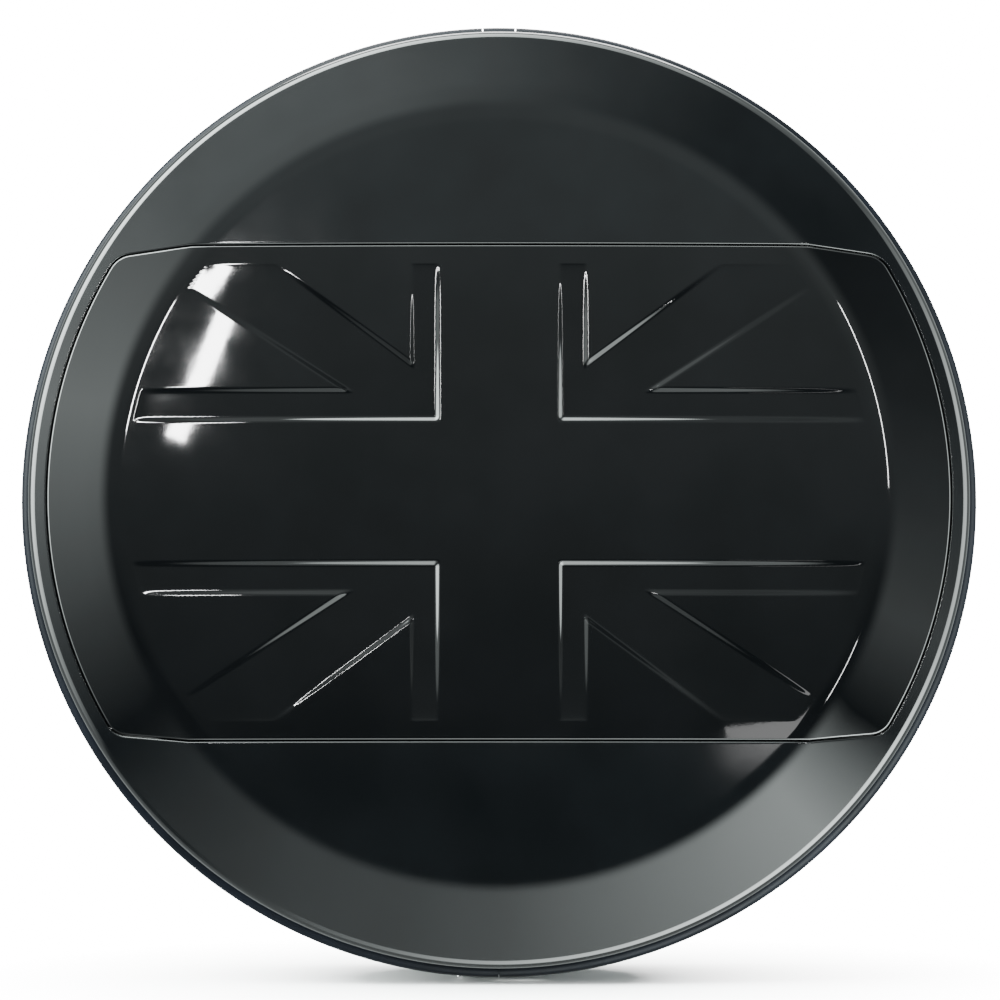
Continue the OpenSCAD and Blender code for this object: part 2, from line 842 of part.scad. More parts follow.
// Key barrel, with a keyway in its face and a square neck for the cam
module lock_barrel() {
    neck = 4;
    body_top = tongue_low + 0.3;
    color([0.75, 0.75, 0.77]) translate([lock_x, lock_y, 0]) difference() {
        union() {
            translate([0, 0, -housing_low + 0.3])
                cylinder(r = barrel_radius, h = housing_low - 0.3 - body_top);
            translate([0, 0, -housing_low + 0.1])
                cylinder(r = barrel_radius + 0.8, h = 1);
            translate([-neck / 2, -neck / 2, -body_top - 0.5])
                cube([neck, neck, tongue_thickness + 0.6]);
        }
        translate([-0.8, -3.5, -housing_low - 1]) cube([1.6, 7, 4]);
        translate([0, 0, -body_top]) cylinder(r = 1.1, h = 10);
    }
}

module lock_cam() {
    hole = 4.1;
    color([0.6, 0.61, 0.63]) translate([lock_x, lock_y, -tongue_low]) difference() {
        union() {
            cylinder(r = 5, h = tongue_thickness);
            translate([0, -cam_width / 2, 0])
                cube([cam_reach, cam_width, tongue_thickness]);
        }
        translate([-hole / 2, -hole / 2, -1]) cube([hole, hole, tongue_thickness + 2]);
    }
}

module cam_screw() {
    color([0.75, 0.75, 0.77]) translate([lock_x, lock_y, 0]) {
        translate([0, 0, -tongue_low + 0.2])
            cylinder(r = 1, h = tongue_thickness + 0.2);
        translate([0, 0, -tongue_low + tongue_thickness + 0.1])
            cylinder(r = 3.2, h = 0.8);
    }
}

// Flap that keeps dirt out of the keyway
module keyhole_cap() {
    flap_width = 10;
    knuckle_outer = 1.9;
    color([0.05, 0.05, 0.05]) difference() {
        union() {
            translate([lock_x, lock_y, -cap_low])
                cylinder(r = barrel_radius + 1.2, h = cap_thickness);
            translate([lock_x - flap_width / 2, lock_y, -cap_low])
                cube([flap_width, cap_pin_y - lock_y, cap_thickness]);
            translate([lock_x - flap_width / 2, cap_pin_y, -cap_pin_low]) rotate([0, 90, 0])
                cylinder(r = knuckle_outer, h = flap_width);
            translate([lock_x - flap_width / 2, cap_pin_y - knuckle_outer, -cap_low])
                cube([flap_width, 2, cap_low - cap_pin_low]);
        }
        translate([lock_x - 9, cap_pin_y, -cap_pin_low]) rotate([0, 90, 0])
            cylinder(r = cap_pin_radius + fit_gap, h = 18);
    }
}

module cap_pin() {
    color([0.75, 0.75, 0.77]) translate([lock_x - 8.5, cap_pin_y, -cap_pin_low])
        rotate([0, 90, 0]) cylinder(r = cap_pin_radius - 0.02, h = 17);
}

front_shell();
flag_panel();
panel_tape();
panel_push_nuts();
face_foam_pads();
rim_seal();
bead_bridge();
hinge_base();
hinge_base_rivets();
hinge_pin();
pin_clips();
ring_left();
edge_trim_left();
tread_pads_left();
hinge_leaf_left();
leaf_rivets_left();
lock_housing();
housing_rivets();
cap_pin();
ring_right();
edge_trim_right();
tread_pads_right();
hinge_leaf_right();
leaf_rivets_right();
lock_tongue();
tongue_rivets();
lock_barrel();
lock_cam();
cam_screw();
keyhole_cap();
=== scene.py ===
import json
import math

import bmesh
import bpy
import numpy as np
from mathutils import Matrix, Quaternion, Vector


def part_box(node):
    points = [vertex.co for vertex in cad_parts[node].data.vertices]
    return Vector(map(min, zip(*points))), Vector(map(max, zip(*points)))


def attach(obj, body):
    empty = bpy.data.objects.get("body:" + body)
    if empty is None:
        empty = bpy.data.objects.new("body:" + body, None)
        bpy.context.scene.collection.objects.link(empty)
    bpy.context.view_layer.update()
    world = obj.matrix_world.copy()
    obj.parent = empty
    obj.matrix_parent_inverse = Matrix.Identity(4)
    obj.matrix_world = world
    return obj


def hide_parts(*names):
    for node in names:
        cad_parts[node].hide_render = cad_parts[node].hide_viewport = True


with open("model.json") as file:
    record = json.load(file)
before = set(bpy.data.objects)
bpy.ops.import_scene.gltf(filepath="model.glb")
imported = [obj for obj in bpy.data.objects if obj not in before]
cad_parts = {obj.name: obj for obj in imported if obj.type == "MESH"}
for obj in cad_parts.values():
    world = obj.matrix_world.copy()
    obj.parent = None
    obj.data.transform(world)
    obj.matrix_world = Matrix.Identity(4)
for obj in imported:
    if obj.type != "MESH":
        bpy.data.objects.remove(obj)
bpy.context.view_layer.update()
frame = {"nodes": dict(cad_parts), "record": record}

# ---------------------------------------------------------------------------
# Driving sizes, in metres, from the frame
# ---------------------------------------------------------------------------
MM = 0.001
bore_mount = next(m for m in frame["record"]["mounts"] if m["name"] == "tyre_bore")
_, panel_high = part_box("flag_panel")
_, ring_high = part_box("ring_right")
_, shell_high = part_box("front_shell")

bore_r = bore_mount["dims"]["r_mm"] * MM
face_wall = 3 * MM
skirt_r = bore_r + face_wall
rim_r = skirt_r + 6 * MM
rim_roll = 11 * MM
roll_centre = rim_r - rim_roll
rim_front = 22 * MM
bevel_slope = math.radians(22)
disc_r = 351 * MM
disc_crown = 10 * MM
edge_soft = 17 * MM
flange_r = shell_high.x
flange_half = 1.5 * MM
skirt_back = shell_high.y

bevel_outer = roll_centre + rim_roll * math.sin(bevel_slope)
bevel_outer_front = rim_front + rim_roll * math.cos(bevel_slope)
disc_edge_front = bevel_outer_front + (bevel_outer - disc_r) * math.tan(bevel_slope)
soft_in, soft_out = disc_r - edge_soft, disc_r + edge_soft

panel_end = panel_high.x
panel_half = panel_high.z
panel_corner = 22 * MM
panel_taper_from = 274 * MM
panel_taper = math.radians(5.9)
panel_gap = 1.3 * MM
panel_thickness = 4.9 * MM
recess_depth = 6.2 * MM

ring_outer = skirt_r + 3.6 * MM
ring_wall = 2.5 * MM
bead_centre = ring_outer + 1 * MM
bead_roll = ring_high.x - bead_centre
draft_from = 68 * MM
ring_draft = 3.5 * MM
shoulder_r = 40 * MM
shoulder_y = 156 * MM
shoulder_outer = ring_outer - ring_draft
lip_angle = math.radians(72)
top_angle = math.asin(15 * MM / ring_outer)
bottom_angle = math.asin(0.3 * MM / ring_outer)
lip_start = math.radians(9)


def crown(r):
    return disc_edge_front + disc_crown * (1 - (r / disc_r) ** 2)


def bevel(r):
    return bevel_outer_front + (bevel_outer - r) * math.tan(bevel_slope)


def front(r):
    """How far the face stands in front of the origin at radius r."""
    r = np.asarray(r, float)
    slope_in = -2 * disc_crown * soft_in / disc_r ** 2
    t = np.clip((r - soft_in) / (2 * edge_soft), 0, 1)
    # a cubic with the crown's height and slope at one end and the bevel's at the other
    h00, h10 = 2 * t ** 3 - 3 * t ** 2 + 1, t ** 3 - 2 * t ** 2 + t
    h01, h11 = -2 * t ** 3 + 3 * t ** 2, t ** 3 - t ** 2
    span = 2 * edge_soft
    blend = (
        h00 * crown(soft_in) + h10 * span * slope_in
        + h01 * bevel(soft_out) - h11 * span * math.tan(bevel_slope)
    )
    return np.where(r < soft_in, crown(r), np.where(r < soft_out, blend, bevel(r)))


# ---------------------------------------------------------------------------
# Outline of the relief panel, as radius against angle
# ---------------------------------------------------------------------------
def outline_radius(angles, grow):
    """Radius of the panel's outline, grown by a margin, at these angles from +X."""
    reach = panel_end - panel_corner
    line = panel_taper_from * math.sin(panel_taper) + panel_half * math.cos(panel_taper)
    up = line - panel_corner
    along = math.sqrt(reach ** 2 - up ** 2)
    cx = up * math.sin(panel_taper) + along * math.cos(panel_taper)
    cz = up * math.cos(panel_taper) - along * math.sin(panel_taper)
    corner = panel_corner + grow
    end = panel_end + grow
    meet = math.atan2(cz, cx)
    tangent = math.pi / 2 - panel_taper
    points = []
    for a in np.linspace(0, meet, 120):
        points.append((end * math.cos(a), end * math.sin(a)))
    for a in np.linspace(meet, tangent, 80)[1:]:
        points.append((cx + corner * math.cos(a), cz + corner * math.sin(a)))
    last = points[-1]
    bend = (panel_taper_from, panel_half + grow)
    for t in np.linspace(0, 1, 40)[1:]:
        points.append((last[0] + (bend[0] - last[0]) * t, last[1] + (bend[1] - last[1]) * t))
    for t in np.linspace(0, 1, 300)[1:]:
        points.append((bend[0] * (1 - t), bend[1]))
    points = np.array(points)
    radius = np.hypot(points[:, 0], points[:, 1])
    turn = np.arctan2(points[:, 1], points[:, 0])
    folded = np.abs(np.asarray(angles))
    folded = np.where(folded > math.pi / 2, math.pi - folded, folded)
    return np.interp(folded, turn, radius)


# ---------------------------------------------------------------------------
# Relief of the panel
# ---------------------------------------------------------------------------
relief_depth = 2.6 * MM
wall_width = 6.6 * MM
cross_x, cross_z = 54.4 * MM, 64 * MM
relief_top = panel_half - 17 * MM
relief_reach = 330 * MM


def step(distance, width):
    """Rises smoothly from 0 to 1 across a wall of that width, centred on distance 0."""
    t = np.clip(distance / width + 0.5, 0, 1)
    return t * t * t * (t * (6 * t - 15) + 10)


def relief(x, z):
    """Depth of the sunken fields below the panel's crown, in metres."""
    x, z = np.abs(x), np.abs(z)
    edge = np.sqrt(np.maximum(relief_reach ** 2 - z ** 2, 1e-8))
    u = np.clip((x - cross_x) / np.maximum(edge - cross_x, 1e-4), 0, 1)
    v = np.clip((z - cross_z) / (relief_top - cross_z), 0, 1)
    fall = np.maximum((1 - u) * (1 - v), 0) ** 0.6
    field = step(x - cross_x, wall_width) * step(z - cross_z, wall_width)
    # narrow triangle beside the upright bar
    ax, az = 77 * MM, cross_z + 49 * MM
    bx, bz = 198 * MM, relief_top
    length = math.hypot(bx - ax, bz - az)
    above = ((z - az) * (bx - ax) - (x - ax) * (bz - az)) / length
    first = step(x - ax, wall_width) * step(above, wall_width)
    # long triangle beside the level bar
    cx, cz = 135 * MM, cross_z + 26 * MM
    dx, dz = 265 * MM, relief_top - 28 * MM
    length = math.hypot(dx - cx, dz - cz)
    below = ((x - cx) * (dz - cz) - (z - cz) * (dx - cx)) / length
    second = step(z - cz, wall_width) * step(below, wall_width)
    return relief_depth * fall * field * (1 - first) * (1 - second)


def panel_surface(x, z):
    """Y of the panel's front at x, z."""
    return -front(np.hypot(x, z)) + relief(x, z)


def surface_normals(surface, x, z, delta=0.4 * MM):
    """Normals, towards -Y, of a surface y = surface(x, z)."""
    gx = (surface(x + delta, z) - surface(x - delta, z)) / (2 * delta)
    gz = (surface(x, z + delta) - surface(x, z - delta)) / (2 * delta)
    n = np.stack([gx, -np.ones_like(gx), gz], axis=-1)
    return n / np.linalg.norm(n, axis=-1, keepdims=True)


# ---------------------------------------------------------------------------
# Mesh helpers
# ---------------------------------------------------------------------------
def make_object(name, vertices, faces, normals=None):
    mesh = bpy.data.meshes.new(name)
    mesh.from_pydata([tuple(v) for v in vertices], [], faces)
    mesh.validate()
    mesh.update()
    mesh.polygons.foreach_set("use_smooth", [True] * len(mesh.polygons))
    if normals is not None:
        mesh.normals_split_custom_set_from_vertices([tuple(n) for n in normals])
    obj = bpy.data.objects.new(name, mesh)
    bpy.context.scene.collection.objects.link(obj)
    return obj


def polar_body(name, radius, depth, front_rows=None, surface=None):
    """A closed body from a section for each angle: radius and depth are arrays of
    section points by angles, from the middle of the front round to the middle of the back."""
    rows, turns = radius.shape
    angles = np.linspace(0, 2 * math.pi, turns, endpoint=False)
    x = radius * np.cos(angles)
    z = radius * np.sin(angles)
    grid = np.stack([x, depth, z], axis=-1)
    first = np.array([[0, depth[0, 0], 0]])
    last = np.array([[0, depth[-1, 0], 0]])
    vertices = np.concatenate([first, grid[1:-1].reshape(-1, 3), last])
    faces = []
    nxt = (np.arange(turns) + 1) % turns
    for j in range(turns):
        faces.append((0, 1 + j, 1 + int(nxt[j])))
    for i in range(rows - 3):
        a = 1 + i * turns
        b = a + turns
        for j in range(turns):
            k = int(nxt[j])
            faces.append((a + j, b + j, b + k, a + k))
    a = 1 + (rows - 3) * turns
    end = len(vertices) - 1
    for j in range(turns):
        faces.append((a + j, end, a + int(nxt[j])))
    # normals from the grid, then exact ones on the front rows
    along = np.gradient(grid, axis=0)
    around = (np.roll(grid, -1, axis=1) - np.roll(grid, 1, axis=1)) / 2
    n = np.cross(along, around)
    size = np.linalg.norm(n, axis=-1, keepdims=True)
    n = n / np.maximum(size, 1e-12)
    if surface is not None:
        rows_exact = slice(0, front_rows)
        n[rows_exact] = surface_normals(surface, x[rows_exact], z[rows_exact])
    normals = np.concatenate([[[0, -1, 0]], n[1:-1].reshape(-1, 3), [[0, 1, 0]]])
    return make_object(name, vertices, faces, normals)


# ---------------------------------------------------------------------------
# Face moulding
# ---------------------------------------------------------------------------
TURNS = 1440
angles = np.linspace(0, 2 * math.pi, TURNS, endpoint=False)
wrapped = (angles + math.pi) % (2 * math.pi) - math.pi


def face_cover():
    rows = []

    def row(r, y):
        rows.append((np.broadcast_to(np.asarray(r, float), TURNS), np.broadcast_to(y, TURNS)))

    edge = outline_radius(wrapped, panel_gap)
    # floor of the recess, out to its wall
    for s in np.linspace(0, 1, 14):
        r = edge * s
        row(r, -front(r) + recess_depth)
    # wall and its rounded top edge
    lip = 1.6 * MM
    row(edge, -front(edge) + lip + 1.5 * MM)
    for k in range(8):
        a = math.radians(90 * k / 8)
        r = outline_radius(wrapped, panel_gap + lip * (1 - math.cos(a)))
        row(r, -front(r) + lip * (1 - math.sin(a)))
    start = outline_radius(wrapped, panel_gap + lip)
    for s in np.linspace(0, 1, 72):
        r = start + (bevel_outer - start) * s
        row(r, -front(r))
    # rolled rim, neck, flange and skirt
    roll_end = math.pi - math.asin((skirt_r - roll_centre) / rim_roll)
    for a in np.linspace(bevel_slope, roll_end, 30)[1:]:
        row(roll_centre + rim_roll * math.sin(a), -rim_front - rim_roll * math.cos(a))
    soft = 0.3 * MM
    for r, y in (
        (skirt_r, -flange_half - soft), (skirt_r + soft, -flange_half),
        (flange_r - soft, -flange_half), (flange_r, -flange_half + soft),
        (flange_r, flange_half - soft), (flange_r - soft, flange_half),
        (skirt_r + soft, flange_half), (skirt_r, flange_half + soft),
        (skirt_r, skirt_back - 1 * MM), (skirt_r - 1 * MM, skirt_back),
        (bore_r + 1 * MM, skirt_back), (bore_r, skirt_back - 1 * MM),
        (bore_r, -rim_front - 2 * MM), (bore_r - 3 * MM, -rim_front - 7 * MM),
    ):
        row(r, y)
    # back of the face, with the step round the recess
    outside = bore_r - 5 * MM
    boss = np.minimum(outline_radius(wrapped, panel_gap + 3 * MM), outside - 2 * MM)
    boss_out = np.minimum(outline_radius(wrapped, panel_gap + 4.2 * MM), outside)
    for s in np.linspace(0, 1, 24):
        r = outside + (boss_out - outside) * s
        row(r, -front(r) + face_wall)
    for s in np.linspace(0, 1, 30):
        r = boss * (1 - s)
        row(r, -front(r) + recess_depth + face_wall)
    radius = np.array([r for r, _ in rows])
    depth = np.array([y for _, y in rows])
    return polar_body("face_cover", radius, depth)


def relief_panel():
    lip = 1.5 * MM
    rows = []
    flat = outline_radius(wrapped, -lip)
    steps = 300
    for s in np.linspace(0, 1, steps):
        r = flat * s
        x, z = r * np.cos(angles), r * np.sin(angles)
        rows.append((r, panel_surface(x, z)))
    for k in range(1, 9):
        a = math.radians(90 * k / 8)
        r = outline_radius(wrapped, -lip * (1 - math.sin(a)))
        rows.append((r, -front(r) + lip * (1 - math.cos(a))))
    edge = outline_radius(wrapped, 0)
    rows.append((edge, -front(edge) + panel_thickness - 0.3 * MM))
    inner = outline_radius(wrapped, -0.3 * MM)
    rows.append((inner, -front(inner) + panel_thickness))
    for s in np.linspace(0, 1, 24)[1:]:
        r = inner * (1 - s)
        rows.append((r, -front(r) + panel_thickness))
    radius = np.array([r for r, _ in rows])
    depth = np.array([y for _, y in rows])
    return polar_body("relief_panel", radius, depth, steps, panel_surface)


# ---------------------------------------------------------------------------
# Half rings
# ---------------------------------------------------------------------------
def arc(cx, cy, r, a, b, steps):
    return [(cx + r * math.cos(t), cy + r * math.sin(t)) for t in np.linspace(a, b, steps)]


def wall_outer(y):
    return ring_outer - ring_draft * max(0, y - draft_from) / (shoulder_y - draft_from)


cut_y = shoulder_y - 2 * MM
wall_stations = (30 * MM, 50 * MM, draft_from, 90 * MM, 120 * MM, cut_y)


def ring_profiles():
    """Outer and inner line of the half ring's section, from the bead's lip to the rear lip.
    Both hold a point at cut_y, whose index comes with them."""
    lip_inner = ring_outer - ring_wall + 0.6 * MM
    thick = ring_wall / 2
    outer = [(lip_inner, -bead_roll + thick)]
    outer += arc(lip_inner + thick, -bead_roll + thick, thick, -math.pi, -math.pi / 2, 6)[1:]
    outer += arc(bead_centre, 0, bead_roll, -math.pi / 2, math.pi / 2 - 0.5, 30)
    last = outer[-1]
    for t in (0.35, 0.7, 1):
        outer.append((
            last[0] + (ring_outer - last[0]) * t,
            last[1] + (bead_roll + 3 * MM - last[1]) * t ** 0.7,
        ))
    for y in wall_stations:
        outer.append((wall_outer(y), y))
    outer_cut = len(outer) - 1
    centre = shoulder_outer - shoulder_r
    outer += arc(centre, shoulder_y, shoulder_r, 0.02, lip_angle - 0.02, 24)
    mid = (
        centre + (shoulder_r - thick) * math.cos(lip_angle - 0.02),
        shoulder_y + (shoulder_r - thick) * math.sin(lip_angle - 0.02),
    )
    outer += arc(mid[0], mid[1], thick, lip_angle, lip_angle + math.pi, 8)[1:-1]
    small = bead_roll - ring_wall
    inner = [(lip_inner, -bead_roll + ring_wall - 0.2 * MM)]
    inner += arc(bead_centre, 0, small, -math.pi / 2 + 0.05, math.pi / 2 - 0.05, 26)
    inner.append((ring_outer - ring_wall + 0.2 * MM, small))
    for y in wall_stations:
        inner.append((wall_outer(y) - ring_wall, y))
    inner_cut = len(inner) - 1
    inner += arc(centre, shoulder_y, shoulder_r - ring_wall, 0.02, lip_angle - 0.02, 24)
    return outer, inner, outer_cut, inner_cut


def half_ring(name, side):
    """side is -1 for the left half and 1 for the right."""
    outer, inner, outer_cut, inner_cut = ring_profiles()
    loop = outer + inner[::-1]
    count = len(loop)
    inner_cut_at = count - 1 - inner_cut
    near = np.linspace(top_angle, lip_start, 12)
    far = np.linspace(lip_start, math.pi - bottom_angle, 340)[1:]
    angles = np.concatenate([near, far])
    vertices = []
    for a in angles:
        for r, y in loop:
            vertices.append((side * r * math.sin(a), y, r * math.cos(a)))
    split = len(near) - 1
    faces = []
    dropped = range(outer_cut, inner_cut_at)

    def face(*corners):
        faces.append(tuple(corners) if side > 0 else tuple(reversed(corners)))

    for i in range(len(angles) - 1):
        for j in range(count):
            k = (j + 1) % count
            if i < split and j in dropped:
                continue
            face(i * count + j, (i + 1) * count + j, (i + 1) * count + k, i * count + k)
        if i < split:
            j, k = outer_cut, inner_cut_at
            face(i * count + j, (i + 1) * count + j, (i + 1) * count + k, i * count + k)
    kept = [j for j in range(count) if j not in list(dropped)[1:]]
    face(*kept)
    face(*[split * count + j for j in range(outer_cut, inner_cut_at + 1)])
    end = (len(angles) - 1) * count
    face(*[end + j for j in reversed(range(count))])
    used = sorted({v for f in faces for v in f})
    index = {v: n for n, v in enumerate(used)}
    obj = make_object(name, [vertices[v] for v in used], [[index[v] for v in f] for f in faces])
    fix_normals(obj)
    sharpen(obj, 40)
    return obj


def fix_normals(obj):
    mesh = bmesh.new()
    mesh.from_mesh(obj.data)
    bmesh.ops.recalc_face_normals(mesh, faces=mesh.faces)
    mesh.to_mesh(obj.data)
    mesh.free()


def sharpen(obj, degrees):
    """Marks edges sharper than this, so that smooth shading stops at them."""
    obj.data.set_sharp_from_angle(angle=math.radians(degrees))


# ---------------------------------------------------------------------------
# Materials
# ---------------------------------------------------------------------------
def new_material(name):
    material = bpy.data.materials.new(name)
    material.use_nodes = True
    nodes = material.node_tree.nodes
    shader = nodes["Principled BSDF"]
    return material, nodes, material.node_tree.links, shader


def noise(nodes, links, scale, detail=4.0, rough=0.55, stretch=(1, 1, 1)):
    where = nodes.new("ShaderNodeTexCoord")
    mapping = nodes.new("ShaderNodeMapping")
    mapping.inputs["Scale"].default_value = stretch
    texture = nodes.new("ShaderNodeTexNoise")
    texture.inputs["Scale"].default_value = scale
    texture.inputs["Detail"].default_value = detail
    texture.inputs["Roughness"].default_value = rough
    links.new(where.outputs["Object"], mapping.inputs["Vector"])
    links.new(mapping.outputs["Vector"], texture.inputs["Vector"])
    return texture.outputs["Fac"]


def ramp(nodes, links, value, low, high, at=(0.35, 0.65)):
    node = nodes.new("ShaderNodeValToRGB")
    node.color_ramp.elements[0].position = at[0]
    node.color_ramp.elements[1].position = at[1]
    node.color_ramp.elements[0].color = (*low, 1)
    node.color_ramp.elements[1].color = (*high, 1)
    links.new(value, node.inputs["Fac"])
    return node.outputs["Color"]


def span(nodes, links, value, low, high, from_low=0.3, from_high=0.7):
    node = nodes.new("ShaderNodeMapRange")
    node.inputs["From Min"].default_value = from_low
    node.inputs["From Max"].default_value = from_high
    node.inputs["To Min"].default_value = low
    node.inputs["To Max"].default_value = high
    links.new(value, node.inputs["Value"])
    return node.outputs["Result"]


def bump(nodes, links, height, shader, strength, distance):
    node = nodes.new("ShaderNodeBump")
    node.inputs["Strength"].default_value = strength
    node.inputs["Distance"].default_value = distance
    links.new(height, node.inputs["Height"])
    links.new(node.outputs["Normal"], shader.inputs["Normal"])


def gloss_black(name, low, high, rough_low, rough_high, peel):
    """Lacquered black plastic: faint orange peel, and haze that varies over the surface."""
    material, nodes, links, shader = new_material(name)
    tone = noise(nodes, links, 9.0, 3.0)
    links.new(ramp(nodes, links, tone, low, high), shader.inputs["Base Color"])
    haze = noise(nodes, links, 26.0, 5.0, 0.6)
    links.new(span(nodes, links, haze, rough_low, rough_high), shader.inputs["Roughness"])
    shader.inputs["IOR"].default_value = 1.52
    bump(nodes, links, noise(nodes, links, 170.0, 2.0), shader, 0.35, peel)
    return material


def satin_plastic(name, low, high, rough_low, rough_high, grain, depth, mirror=0.35):
    """Moulded plastic or rubber with a fine grain."""
    material, nodes, links, shader = new_material(name)
    tone = noise(nodes, links, 14.0, 4.0)
    links.new(ramp(nodes, links, tone, low, high), shader.inputs["Base Color"])
    haze = noise(nodes, links, 60.0, 4.0)
    links.new(span(nodes, links, haze, rough_low, rough_high), shader.inputs["Roughness"])
    shader.inputs["Specular IOR Level"].default_value = mirror
    bump(nodes, links, noise(nodes, links, grain, 3.0, 0.7), shader, 0.6, depth)
    return material


def foam(name, low, high):
    """Closed-cell foam with open pores on its cut faces."""
    material, nodes, links, shader = new_material(name)
    where = nodes.new("ShaderNodeTexCoord")
    cells = nodes.new("ShaderNodeTexVoronoi")
    cells.inputs["Scale"].default_value = 900.0
    links.new(where.outputs["Object"], cells.inputs["Vector"])
    links.new(
        ramp(nodes, links, cells.outputs["Distance"], low, high, (0.1, 0.6)),
        shader.inputs["Base Color"],
    )
    shader.inputs["Roughness"].default_value = 0.92
    bump(nodes, links, cells.outputs["Distance"], shader, 0.8, 0.0004)
    return material


def metal(name, low, high, rough_low, rough_high, stretch):
    """Plated steel with drawn or cast streaks and dull patches."""
    material, nodes, links, shader = new_material(name)
    patches = noise(nodes, links, 70.0, 5.0, 0.65)
    links.new(ramp(nodes, links, patches, low, high), shader.inputs["Base Color"])
    streaks = noise(nodes, links, 240.0, 4.0, 0.6, stretch)
    links.new(span(nodes, links, streaks, rough_low, rough_high), shader.inputs["Roughness"])
    shader.inputs["Metallic"].default_value = 1.0
    bump(nodes, links, streaks, shader, 0.25, 0.0002)
    return material


def grey(value, warm=0.0):
    return (value * (1 + warm), value, value * (1 - warm))


materials = {
    "face_gloss": gloss_black(
        "face_gloss", (0.0012, 0.0015, 0.0018), (0.0020, 0.0024, 0.0028), 0.06, 0.09, 0.000008
    ),
    "panel_gloss": gloss_black(
        "panel_gloss", (0.0008, 0.0010, 0.0012), (0.0014, 0.0016, 0.0019), 0.015, 0.035, 0.000006
    ),
    "ring_satin": satin_plastic(
        "ring_satin", (0.0016, 0.0022, 0.0036), (0.003, 0.004, 0.0065), 0.32, 0.42, 900.0,
        0.00003, mirror=0.06
    ),
    "seal_rubber": satin_plastic(
        "seal_rubber", grey(0.008), grey(0.014), 0.6, 0.75, 700.0, 0.0002
    ),
    "trim_rubber": satin_plastic(
        "trim_rubber", grey(0.012), grey(0.022), 0.5, 0.68, 600.0, 0.0002
    ),
    "pad_rubber": satin_plastic(
        "pad_rubber", grey(0.02), grey(0.035), 0.65, 0.8, 420.0, 0.0004
    ),
    "foam": foam("foam", grey(0.02), grey(0.075)),
    "hinge_steel": metal(
        "hinge_steel", grey(0.32, 0.02), grey(0.48, 0.02), 0.28, 0.46, (1, 0.08, 1)
    ),
    "zinc_steel": metal(
        "zinc_steel", grey(0.5, 0.02), grey(0.68, 0.02), 0.2, 0.36, (1, 1, 1)
    ),
    "spring_steel": metal(
        "spring_steel", grey(0.1), grey(0.2), 0.3, 0.45, (1, 1, 1)
    ),
    "lock_cast": satin_plastic(
        "lock_cast", grey(0.016), grey(0.03), 0.38, 0.55, 500.0, 0.0003
    ),
    "lock_chrome": metal(
        "lock_chrome", grey(0.66), grey(0.8), 0.08, 0.2, (1, 1, 1)
    ),
    "cap_plastic": satin_plastic(
        "cap_plastic", grey(0.012), grey(0.02), 0.42, 0.58, 700.0, 0.0002
    ),
}


def dress(obj, slot_name):
    obj.data.materials.clear()
    obj.data.materials.append(materials[slot_name])


slot_of = {s["node"]: s["material_slot"] for s in frame["record"]["subparts"]}
for node_name, node_object in frame["nodes"].items():
    dress(node_object, slot_of[node_name])

# ---------------------------------------------------------------------------
# Pieces that replace CAD solids
# ---------------------------------------------------------------------------
for piece, body, node_name in (
    (face_cover(), "cover", "front_shell"),
    (relief_panel(), "cover", "flag_panel"),
    (half_ring("ring_shell_left", -1), "left_half", "ring_left"),
    (half_ring("ring_shell_right", 1), "right_half", "ring_right"),
):
    dress(piece, slot_of[node_name])
    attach(piece, body)
    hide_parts(node_name)

# ---------------------------------------------------------------------------
# Camera: below the cover's axis, because the cover leans back as it stands
# ---------------------------------------------------------------------------
lean = math.radians(6)
distance = 5.0
aim = Vector((0, -rim_front, 0))
sight = Vector((0, math.cos(lean), math.sin(lean)))
camera_data = bpy.data.cameras.new("camera")
camera = bpy.data.objects.new("camera", camera_data)
bpy.context.scene.collection.objects.link(camera)
camera.location = aim - sight * distance
camera.rotation_euler = sight.to_track_quat("-Z", "Y").to_euler()
# the rim is 94 of the picture's 100 across
rim_share = 0.942
camera_data.sensor_width = 36
camera_data.lens = camera_data.sensor_width * distance * rim_share / (2 * rim_r)
camera_data.clip_start, camera_data.clip_end = 0.05, 60
camera_data.shift_x = 0.001
camera_data.shift_y = -0.004
bpy.context.scene.camera = camera
camera_up = Vector((0, -math.sin(lean), math.cos(lean)))
# the line of sight mirrored in the face, and the directions across it
mirror_ahead = Vector((0, -math.cos(lean), math.sin(lean)))
mirror_up = Vector((0, math.sin(lean), math.cos(lean)))
mirror_right = Vector((1, 0, 0))

# ---------------------------------------------------------------------------
# Studio: pale floor under the leaning cover, and soft light from all round
# ---------------------------------------------------------------------------
floor_drop = ring_high.x + 2 * MM


def floor():
    """A round sheet of pale paper that thins out to nothing before its edge."""
    turns, reach = 96, 0.6
    fade_from, fade_to = 0.12, 0.55
    centre = -camera_up * floor_drop
    corners = [
        centre + (mirror_right * math.cos(a) + sight * math.sin(a)) * reach
        for a in np.linspace(0, 2 * math.pi, turns, endpoint=False)
    ]
    obj = make_object("floor", corners, [tuple(range(turns))])
    material, nodes, links, shader = new_material("floor")
    tone = noise(nodes, links, 1.2, 3.0)
    links.new(ramp(nodes, links, tone, grey(0.88), grey(0.92)), shader.inputs["Base Color"])
    shader.inputs["Roughness"].default_value = 0.7
    where = nodes.new("ShaderNodeTexCoord")
    away = nodes.new("ShaderNodeVectorMath")
    away.operation = "DISTANCE"
    away.inputs[1].default_value = centre
    links.new(where.outputs["Object"], away.inputs[0])
    thinning = span(nodes, links, away.outputs["Value"], 1.0, 0.0, fade_from, fade_to)
    links.new(thinning, shader.inputs["Alpha"])
    obj.data.materials.append(material)
    # kept out of reflections, because it would light the lower bevel
    obj.visible_glossy = False


floor()

